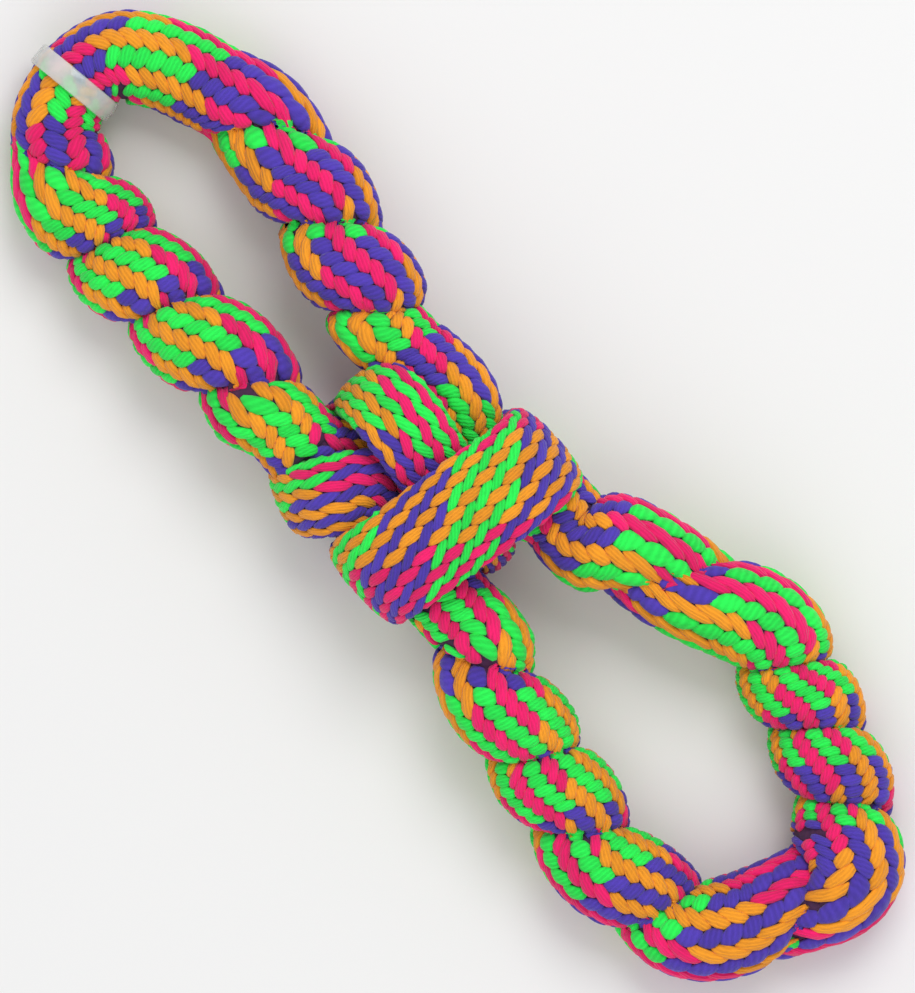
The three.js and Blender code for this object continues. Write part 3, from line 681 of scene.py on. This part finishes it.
def yarn_material(name, colour):
    """Soft spun yarn: strands and fine fibres along the pick, a little felting, a shade of its own, and
    painted shade in the grooves between the strands.
    """
    material, nodes, links, shader = new_material(name)
    shader.inputs["Roughness"].default_value = 0.88
    shader.inputs["Specular IOR Level"].default_value = 0.25
    shader.inputs["Sheen Weight"].default_value = 0.18
    shader.inputs["Sheen Roughness"].default_value = 0.5
    where = nodes.new("ShaderNodeUVMap")
    where.uv_map = "yarn"
    fibres = nodes.new("ShaderNodeMapping")
    fibres.inputs["Scale"].default_value = (260, 2600, 1)
    links.new(where.outputs["UV"], fibres.inputs["Vector"])
    fine = nodes.new("ShaderNodeTexNoise")
    fine.inputs["Scale"].default_value = 1.0
    fine.inputs["Detail"].default_value = 3.0
    links.new(fibres.outputs["Vector"], fine.inputs["Vector"])
    twist = nodes.new("ShaderNodeMapping")
    twist.inputs["Rotation"].default_value = (0, 0, 0.22)
    links.new(where.outputs["UV"], twist.inputs["Vector"])
    strands = nodes.new("ShaderNodeTexWave")
    strands.bands_direction = "Y"
    strands.inputs["Scale"].default_value = 370.0
    strands.inputs["Distortion"].default_value = 1.6
    strands.inputs["Detail"].default_value = 2.0
    links.new(twist.outputs["Vector"], strands.inputs["Vector"])
    place = nodes.new("ShaderNodeTexCoord")
    felt = nodes.new("ShaderNodeTexNoise")
    felt.inputs["Scale"].default_value = 900.0
    felt.inputs["Detail"].default_value = 4.0
    links.new(place.outputs["Object"], felt.inputs["Vector"])
    shade = nodes.new("ShaderNodeAttribute")
    shade.attribute_name = "shade"
    dark = nodes.new("ShaderNodeMix")
    dark.data_type = "RGBA"
    dark.inputs["A"].default_value = [c * 0.5 for c in colour] + [1]
    dark.inputs["B"].default_value = [min(1, c * 1.16) for c in colour] + [1]
    level = nodes.new("ShaderNodeMath")
    level.operation = "MULTIPLY_ADD"
    level.inputs[1].default_value = 0.4
    links.new(fine.outputs["Fac"], level.inputs[0])
    links.new(shade.outputs["Fac"], level.inputs[2])
    # Painted shade: the strands' wave darkens the colour in the grooves between them.
    painted_groove_shade = nodes.new("ShaderNodeMath")
    painted_groove_shade.operation = "MULTIPLY_ADD"
    painted_groove_shade.inputs[1].default_value = 0.28
    links.new(strands.outputs["Fac"], painted_groove_shade.inputs[0])
    links.new(level.outputs["Value"], painted_groove_shade.inputs[2])
    links.new(painted_groove_shade.outputs["Value"], dark.inputs["Factor"])
    links.new(dark.outputs["Result"], shader.inputs["Base Color"])
    fibre_bump = add_bump(material, fine.outputs["Fac"], 0.6, 0.0005)
    ply_bump = add_bump(material, strands.outputs["Fac"], 0.5, 0.0004, fibre_bump)
    fuzz_bump = add_bump(material, felt.outputs["Fac"], 0.45, 0.0004, ply_bump)
    links.new(fuzz_bump, shader.inputs["Normal"])
    return material


def mottled_material(name, dark, light, scale, roughness, bump_depth):
    material, nodes, links, shader = new_material(name)
    shader.inputs["Roughness"].default_value = roughness
    place = nodes.new("ShaderNodeTexCoord")
    noise = nodes.new("ShaderNodeTexNoise")
    noise.inputs["Scale"].default_value = scale
    noise.inputs["Detail"].default_value = 5.0
    links.new(place.outputs["Object"], noise.inputs["Vector"])
    mix = nodes.new("ShaderNodeMix")
    mix.data_type = "RGBA"
    mix.inputs["A"].default_value = list(dark) + [1]
    mix.inputs["B"].default_value = list(light) + [1]
    links.new(noise.outputs["Fac"], mix.inputs["Factor"])
    links.new(mix.outputs["Result"], shader.inputs["Base Color"])
    links.new(add_bump(material, noise.outputs["Fac"], 0.4, bump_depth), shader.inputs["Normal"])
    return material


yarns = [yarn_material(f"yarn_{name}", YARN_COLOURS[name]) for name in YARN_ORDER]
# Painted shade: the sleeve's body under the picks is a near-black purple, so that gaps between the picks
# show as shadowed creases.
painted_shade_backing = mottled_material("backing_painted_shade", (0.02, 0.01, 0.035), (0.11, 0.03, 0.1), 600, 0.95, 0.0004)
rubber = mottled_material("core_rubber", (0.02, 0.02, 0.022), (0.045, 0.045, 0.05), 300, 0.7, 0.0001)
fused = mottled_material("fused_yarn", (0.05, 0.03, 0.12), (0.5, 0.12, 0.15), 260, 0.45, 0.0003)


def clear_plastic():
    """Clear shrunk plastic, gone milky in places."""
    material = mottled_material("clear_plastic", (0.56, 0.88, 0.7), (1, 0.74, 0.84), 70, 0.16, 0.0002)
    nodes, links = material.node_tree.nodes, material.node_tree.links
    shader = nodes["Principled BSDF"]
    milk = nodes.new("ShaderNodeMapRange")
    milk.inputs["From Min"].default_value = 0.35
    milk.inputs["From Max"].default_value = 0.65
    milk.inputs["To Min"].default_value = 0.34
    milk.inputs["To Max"].default_value = 0.64
    links.new(nodes["Noise Texture"].outputs["Fac"], milk.inputs["Value"])
    links.new(milk.outputs["Result"], shader.inputs["Alpha"])
    shader.inputs["Coat Weight"].default_value = 1.0
    shader.inputs["Coat Roughness"].default_value = 0.08
    return material


def short_bunching(share):
    return 1 - SMOOTHED_AWAY_SHARE * between(share, SMOOTH_FROM_SHARES, SMOOTH_TO_SHARES)


def long_bunching(share):
    return LONG_SWING_SHARE + CORNER_SWING_SHARE * between(share, CORNER_FROM_SHARES, CORNER_TO_SHARES)


short_loop = Loop(SHORT_LOOP_SHARES, SHORT_LOOP_REACH, SHORT_LOOP_WIDTH, -1, short_bunching,
                  SHORT_FOLD_SHARES, SHORT_LOOP_PICKS, FERRULE_SHARE)
long_loop = Loop(LONG_LOOP_SHARES, LONG_LOOP_REACH, LONG_LOOP_WIDTH, 1, long_bunching, LONG_FOLD_SHARES,
                 LONG_LOOP_PICKS)

# Each pass's route and stretch of it, how many columns lie on its outward face where it is flat, how many
# columns the braid turns by, and the first yarns of its two ways.
PASSES = [
    ("knot_front_wrap", WOUND_ROUTE_SHARES, 7, 17, 10.8, 12, (5, 3)),
    ("knot_side_wrap", WOUND_ROUTE_SHARES, 24, 36, 8.2, 0, (7, 5)),
    ("knot_straight_pass", STRAIGHT_ROUTE_SHARES, 0, 8, 8, 0, (6, 6)),
    ("knot_diving_pass", WOUND_ROUTE_SHARES, 0, 7, 8, 0, (0, 0)),
    ("knot_exit_pass", WOUND_ROUTE_SHARES, 36, 40, 8, 0, (0, 6)),
    ("knot_back_pass", WOUND_ROUTE_SHARES, 17, 24, 8, 0, (0, 0)),
]
SHORT_LOOP_PHASES = (11, 11)
LONG_LOOP_PHASES = (11, 6)


def sleeve_piece(name, route, start, end, picks):
    """The picks whose middles lie on a stretch, with the sleeve's body under them."""
    points, colours, middles, shades = picks
    keep = (middles >= start) & (middles < end)
    points, colours, shades = points[keep], colours[keep], shades[keep]
    count, size = points.shape[:2]
    faces = []
    slots = []
    for number in range(count):
        first = number * size
        faces.extend([[first + v for v in face] for face in PICK_FACES])
        slots.extend([int(colours[number])] * len(PICK_FACES))
    under, under_faces = backing(route, start, end)
    offset = count * size
    faces.extend([[offset + v for v in face] for face in under_faces])
    # The body under the picks takes the near-black painted shade material.
    slots.extend([len(YARN_ORDER)] * len(under_faces))
    pressed = PRESSED_FLOOR + PRESSED_SPREAD * (np.arange(count) * PRESSED_STEP_SHARE % 1)
    points[..., 2] = np.maximum(points[..., 2], pressed[:, None])
    under[:, 2] = np.maximum(under[:, 2], BACKING_FLOOR)
    vertices = np.concatenate([points.reshape(-1, 3), under])
    shade = np.concatenate([
        np.repeat(SHADE_MIDDLE + SHADE_SPREAD * shades, size), np.full(len(under), BACKING_SHADE),
    ])
    local = PICK_VERTICES[:, :2] * [TEXTURE_HALF_LENGTH, TEXTURE_HALF_WIDTH]
    shift = np.stack([np.arange(count) * step % limit for step, limit in TEXTURE_SHIFTS], -1)
    yarn = np.concatenate([(local[None] + shift[:, None]).reshape(-1, 2), under[:, :2]])
    return build_mesh(f"{name}_braid", vertices, faces, slots, yarns + [painted_shade_backing], shade, yarn)


def core_piece(name, route, start, end, sides=16):
    count = max(4, int((end - start) / CORE_STEP))
    distance = np.repeat(np.linspace(start, end, count)[:, None], sides, 1)
    angle = np.repeat(np.linspace(0, TURN, sides, endpoint=False)[None, :], count, 0)
    middle, _, across, normal = route.route(distance)
    outward = across * np.cos(angle)[..., None] + normal * np.sin(angle)[..., None]
    outer = middle + outward * CORE_RADIUS
    vertices = np.concatenate([outer.reshape(-1, 3), middle[[0, -1], 0]])
    faces = tube_faces(count, sides)
    first, last = count * sides, count * sides + 1
    for j in range(sides):
        k = (j + 1) % sides
        faces.append([first, k, j])
        faces.append([last, (count - 1) * sides + j, (count - 1) * sides + k])
    return build_mesh(f"{name}_elastic", vertices, faces, [0] * len(faces), [rubber])


def fit(piece, node, place):
    """Hides what a finished piece replaces and attaches the piece to the body that carries it; a piece
    between two bodies is only fixed in place.
    """
    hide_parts(node)
    if isinstance(place, str):
        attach(piece, place)
    else:
        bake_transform(piece)


def dress_loop(name, loop, side, picks):
    crown = NECK_LENGTH + LIMB_SHARE * loop.length
    middle = loop.ferrule_at if loop.ferrule_at else loop.length / 2
    edge = side * KNOT_LENGTH / 2
    bend = (edge, 0, 0), (edge + side * BLEND_SHARE * NECK_LENGTH, 0, 0)
    stretch = (edge + side * NECK_LENGTH, 0, 0), (edge + side * BLEND_SHARE * crown, 0, 0)
    carried = {
        "neck": ("knot", f"{name}_limbs") + bend,
        "limb": (f"{name}_limbs", f"{name}_crown") + stretch,
        "crown": f"{name}_crown",
    }
    stretches = [
        ("left_neck", -LOOP_LEAD, NECK_LENGTH),
        ("left_limb", NECK_LENGTH, crown),
        ("left_crown", crown, middle),
        ("right_crown", middle, loop.length - crown),
        ("right_limb", loop.length - crown, loop.length - NECK_LENGTH),
        ("right_neck", loop.length - NECK_LENGTH, loop.length + LOOP_LEAD),
    ]
    for part, start, end in stretches:
        full = f"{name}_{part}"
        place = carried[part.split("_")[1]]
        fit(sleeve_piece(full, loop, start, end, picks), f"{full}_sleeve", place)
        if not isinstance(place, str):
            gap = NEIGHBOUR_GAP / 2
            core = core_piece(full, loop, max(start, 0) + gap, min(end, loop.length) - gap)
            fit(core, f"{full}_core", place)


def inside_pass(points, route, margin):
    """True for points deeper than the margin inside a pass of the knot."""
    stations = np.linspace(0, route.length, INSIDE_STATIONS)
    middle, tangent, across, normal, size = route.frame(stations)
    found = np.zeros(len(points), bool)
    spacing = route.length / (INSIDE_STATIONS - 1)
    for i in range(len(stations)):
        away = points - middle[i]
        near = np.abs(away @ tangent[i]) < spacing
        x = (away @ across[i]) / (size[i, 0] - margin)
        y = (away @ normal[i]) / (size[i, 1] - margin)
        found |= near & (np.abs(x) ** INSIDE_POWER + np.abs(y) ** INSIDE_POWER < 1)
    return found


def dress_knot():
    made = []
    for name, shares, first, last, front_columns, wandering, phases in PASSES:
        route = Pass(shares, first, last, front_columns, wandering)
        picks = braid(route, phases)
        points = picks[0]
        hidden = np.zeros(len(points), bool)
        for other in made:
            inside = inside_pass(points.reshape(-1, 3), other, INSIDE_MARGIN).reshape(points.shape[:2])
            hidden |= inside.mean(axis=1) > HIDDEN_SHARE
        made.append(route)
        seen = [values[~hidden] for values in picks]
        piece = sleeve_piece(name, route, 0, route.length, seen)
        fit(piece, f"{name}_sleeve", "knot")


def ferrule_piece():
    """A straight ring with softly rounded rims."""
    sides = 64
    bore = SQUEEZED_RADIUS + FERRULE_CLEARANCE
    angle = np.linspace(0, TURN, sides, endpoint=False)
    point, tangent, across, normal = short_loop.route(np.array([short_loop.ferrule_at]))
    rings = []
    for along, out in FERRULE_PROFILE_SHARES:
        radius = bore + out * FERRULE_WALL
        outward = across * np.cos(angle)[:, None] + normal * np.sin(angle)[:, None]
        rings.append(point + tangent * along * FERRULE_LENGTH + outward * radius)
    vertices = np.concatenate(rings)
    faces = []
    count = len(rings)
    for ring in range(count):
        for j in range(sides):
            k = (j + 1) % sides
            a, b = ring * sides, (ring + 1) % count * sides
            faces.append([a + j, a + k, b + k, b + j])
    return build_mesh("clear_band", vertices, faces, [0] * len(faces), [clear_plastic()])


dress_loop("short_loop", short_loop, -1, braid(short_loop, SHORT_LOOP_PHASES))
dress_loop("long_loop", long_loop, 1, braid(long_loop, LONG_LOOP_PHASES))
dress_knot()
fit(ferrule_piece(), "clear_ferrule", "short_loop_crown")


def finish_node(node, material):
    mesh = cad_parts[node]
    mesh.data.materials.clear()
    mesh.data.materials.append(material)


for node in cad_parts:
    if node.endswith("_core"):
        finish_node(node, rubber)
finish_node("melted_end_plug", fused)


# Floor, light and camera.

def stage_floor():
    mesh = bpy.data.meshes.new("floor")
    half = 12.0
    corners = [(-half, -half, 0), (half, -half, 0), (half, half, 0), (-half, half, 0)]
    mesh.from_pydata(corners, [], [(0, 1, 2, 3)])
    floor = bpy.data.objects.new("floor", mesh)
    bpy.context.collection.objects.link(floor)
    material, nodes, links, shader = new_material("floor")
    shader.inputs["Base Color"].default_value = (0.84, 0.84, 0.84, 1)
    shader.inputs["Roughness"].default_value = 0.9
    shader.inputs["Specular IOR Level"].default_value = 0.1
    mesh.materials.append(material)


def area_light(name, place, size, power):
    data = bpy.data.lights.new(name, "AREA")
    data.size = size
    data.energy = power
    lamp = bpy.data.objects.new(name, data)
    lamp.location = place
    lamp.rotation_mode = "QUATERNION"
    lamp.rotation_quaternion = (Vector((0, 0, 0)) - Vector(place)).to_track_quat("-Z", "Y")
    bpy.context.collection.objects.link(lamp)


stage_floor()
area_light("key", place=(-0.5, 0.9, 1.6), size=1.0, power=15.5)
area_light("fill", place=(0.9, -0.7, 1.4), size=1.6, power=7.5)

world = bpy.data.worlds.new("studio")
world.use_nodes = True
background = world.node_tree.nodes["Background"]
background.inputs["Color"].default_value = (1, 1, 1, 1)
background.inputs["Strength"].default_value = 0.62
bpy.context.scene.world = world

# The camera looks straight down on the toy, turned so that the toy runs from upper left to lower right.
FRAME_HEIGHT_PX = 993
METRES_PER_PX = 0.3265 * MM
TOY_RIGHT_SHARE = 0.6686  # of +X along the picture's width
TOY_DOWN_SHARE = 0.7436
CAMERA_HEIGHT = 3.0
SHARP_HEIGHT = 25 * MM  # height at which the scale is true
PICTURE_CENTRE = (11.51 * MM, 5.24 * MM)
SENSOR = 36.0

camera_data = bpy.data.cameras.new("camera")
camera_data.sensor_width = SENSOR
camera_data.lens = SENSOR * (CAMERA_HEIGHT - SHARP_HEIGHT) / (FRAME_HEIGHT_PX * METRES_PER_PX)
camera_data.clip_start = 0.1
camera_data.clip_end = 20
camera = bpy.data.objects.new("camera", camera_data)
right = Vector((TOY_RIGHT_SHARE, TOY_DOWN_SHARE, 0)).normalized()
up = Vector((-TOY_DOWN_SHARE, TOY_RIGHT_SHARE, 0)).normalized()
turned = Matrix((right, up, Vector((0, 0, 1)))).transposed()
camera.matrix_world = Matrix.Translation((*PICTURE_CENTRE, CAMERA_HEIGHT)) @ turned.to_4x4()
bpy.context.collection.objects.link(camera)
bpy.context.scene.camera = camera
bpy.context.scene.view_settings.view_transform = "Standard"
